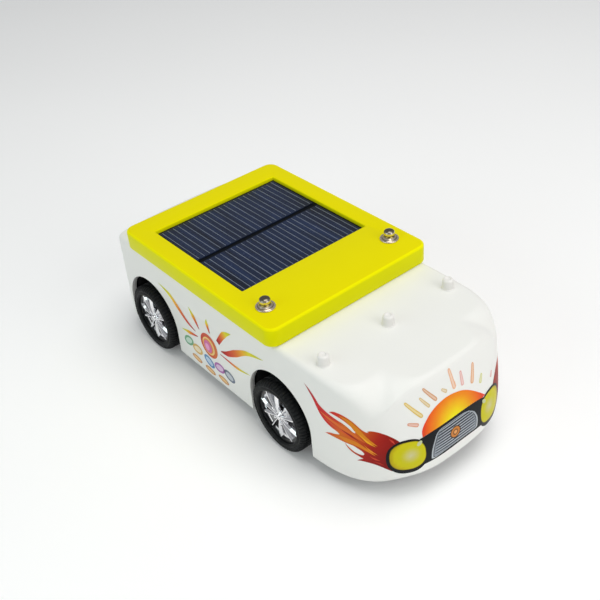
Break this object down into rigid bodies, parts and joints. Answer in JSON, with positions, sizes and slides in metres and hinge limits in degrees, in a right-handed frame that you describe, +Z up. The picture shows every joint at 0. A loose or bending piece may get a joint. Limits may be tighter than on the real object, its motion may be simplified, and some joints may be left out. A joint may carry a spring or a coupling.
{
  "type": "solar toy car kit",
  "caption": "Small toy car with a white moulded body, a clip-on yellow solar module with snap studs, and a motor geared to the rear axle.",
  "frame": {"origin": "on the ground under the middle of the car's length and width", "axes": "+X forward to the nose, +Y to the car's left, +Z up"},
  "size_m": [0.155, 0.0716, 0.0553],
  "materials": {
    "body_white": "glossy moulded",
    "peg_white": "slightly translucent",
    "chassis_black": "fine texture",
    "module_yellow": "glossy moulded",
    "cell_blue": "coated silicon",
    "board_black": "resin board",
    "stud_plated": "nickel plated",
    "cover_chrome": "bright plated plastic",
    "tyre_black": "fine tread",
    "core_black": "moulded",
    "steel": "bright",
    "brass": "turned",
    "copper": "enamelled wire",
    "magnet_grey": "sintered",
    "gear_nylon": "moulded nylon",
    "cap_nylon": "moulded nylon",
    "wire_red": "soft sleeve",
    "wire_black": "soft sleeve"
  },
  "bodies": {
    "chassis": {"body_shell": "body_white", "hood_pegs": "peg_white", "deck_snap_studs": "stud_plated", "contact_washers": "brass", "chassis_plate": "chassis_black", "chassis_screws": "steel", "bush_rear_left": "brass", "bush_rear_right": "brass", "bush_front_left": "brass", "bush_front_right": "brass", "motor_can": "steel", "motor_end_cap": "cap_nylon", "motor_magnets": "magnet_grey", "motor_bush": "brass", "motor_brushes": "brass", "motor_terminals": "brass", "motor_clamp": "chassis_black", "motor_clamp_screw": "steel", "wire_red": "wire_red", "wire_black": "wire_black"},
    "solar_module": {"module_frame": "module_yellow", "module_back_cover": "module_yellow", "module_board": "board_black", "solar_cell_front": "cell_blue", "solar_cell_rear": "cell_blue", "terminal_stud_left": "stud_plated", "terminal_stud_right": "stud_plated", "terminal_socket_left": "stud_plated", "terminal_socket_right": "stud_plated", "module_screws": "steel", "module_lead_red": "wire_red", "module_lead_black": "wire_black"},
    "rear_wheelset": {"rear_axle": "steel", "drive_gear": "gear_nylon", "tyre_rear_left": "tyre_black", "tyre_rear_right": "tyre_black", "wheel_core_rear_left": "core_black", "wheel_core_rear_right": "core_black", "wheel_cover_rear_left": "cover_chrome", "wheel_cover_rear_right": "cover_chrome"},
    "front_wheelset": {"front_axle": "steel", "tyre_front_left": "tyre_black", "tyre_front_right": "tyre_black", "wheel_core_front_left": "core_black", "wheel_core_front_right": "core_black", "wheel_cover_front_left": "cover_chrome", "wheel_cover_front_right": "cover_chrome"},
    "motor_rotor": {"motor_shaft": "steel", "motor_armature": "steel", "motor_windings": "copper", "motor_commutator": "brass", "motor_pinion": "brass"}
  },
  "joints": [
    {"name": "rear_axle_spin", "type": "hinge", "parent": "chassis", "child": "rear_wheelset", "pos_m": [-0.0515, 0, 0.01375], "axis": [0, 1, 0], "continuous": true},
    {"name": "front_axle_spin", "type": "hinge", "parent": "chassis", "child": "front_wheelset", "pos_m": [0.0265, 0, 0.01375], "axis": [0, 1, 0], "continuous": true},
    {"name": "motor_spin", "type": "hinge", "parent": "chassis", "child": "motor_rotor", "pos_m": [-0.0409, 0, 0.01752], "axis": [0, 1, 0], "continuous": true},
    {"name": "module_lift", "type": "slide", "parent": "chassis", "child": "solar_module", "axis": [0, 0, 1], "range_m": [0, 0.015]}
  ],
  "couplings": [
    {"joint": "motor_spin", "follows": "rear_axle_spin", "ratio": -4}
  ]
}
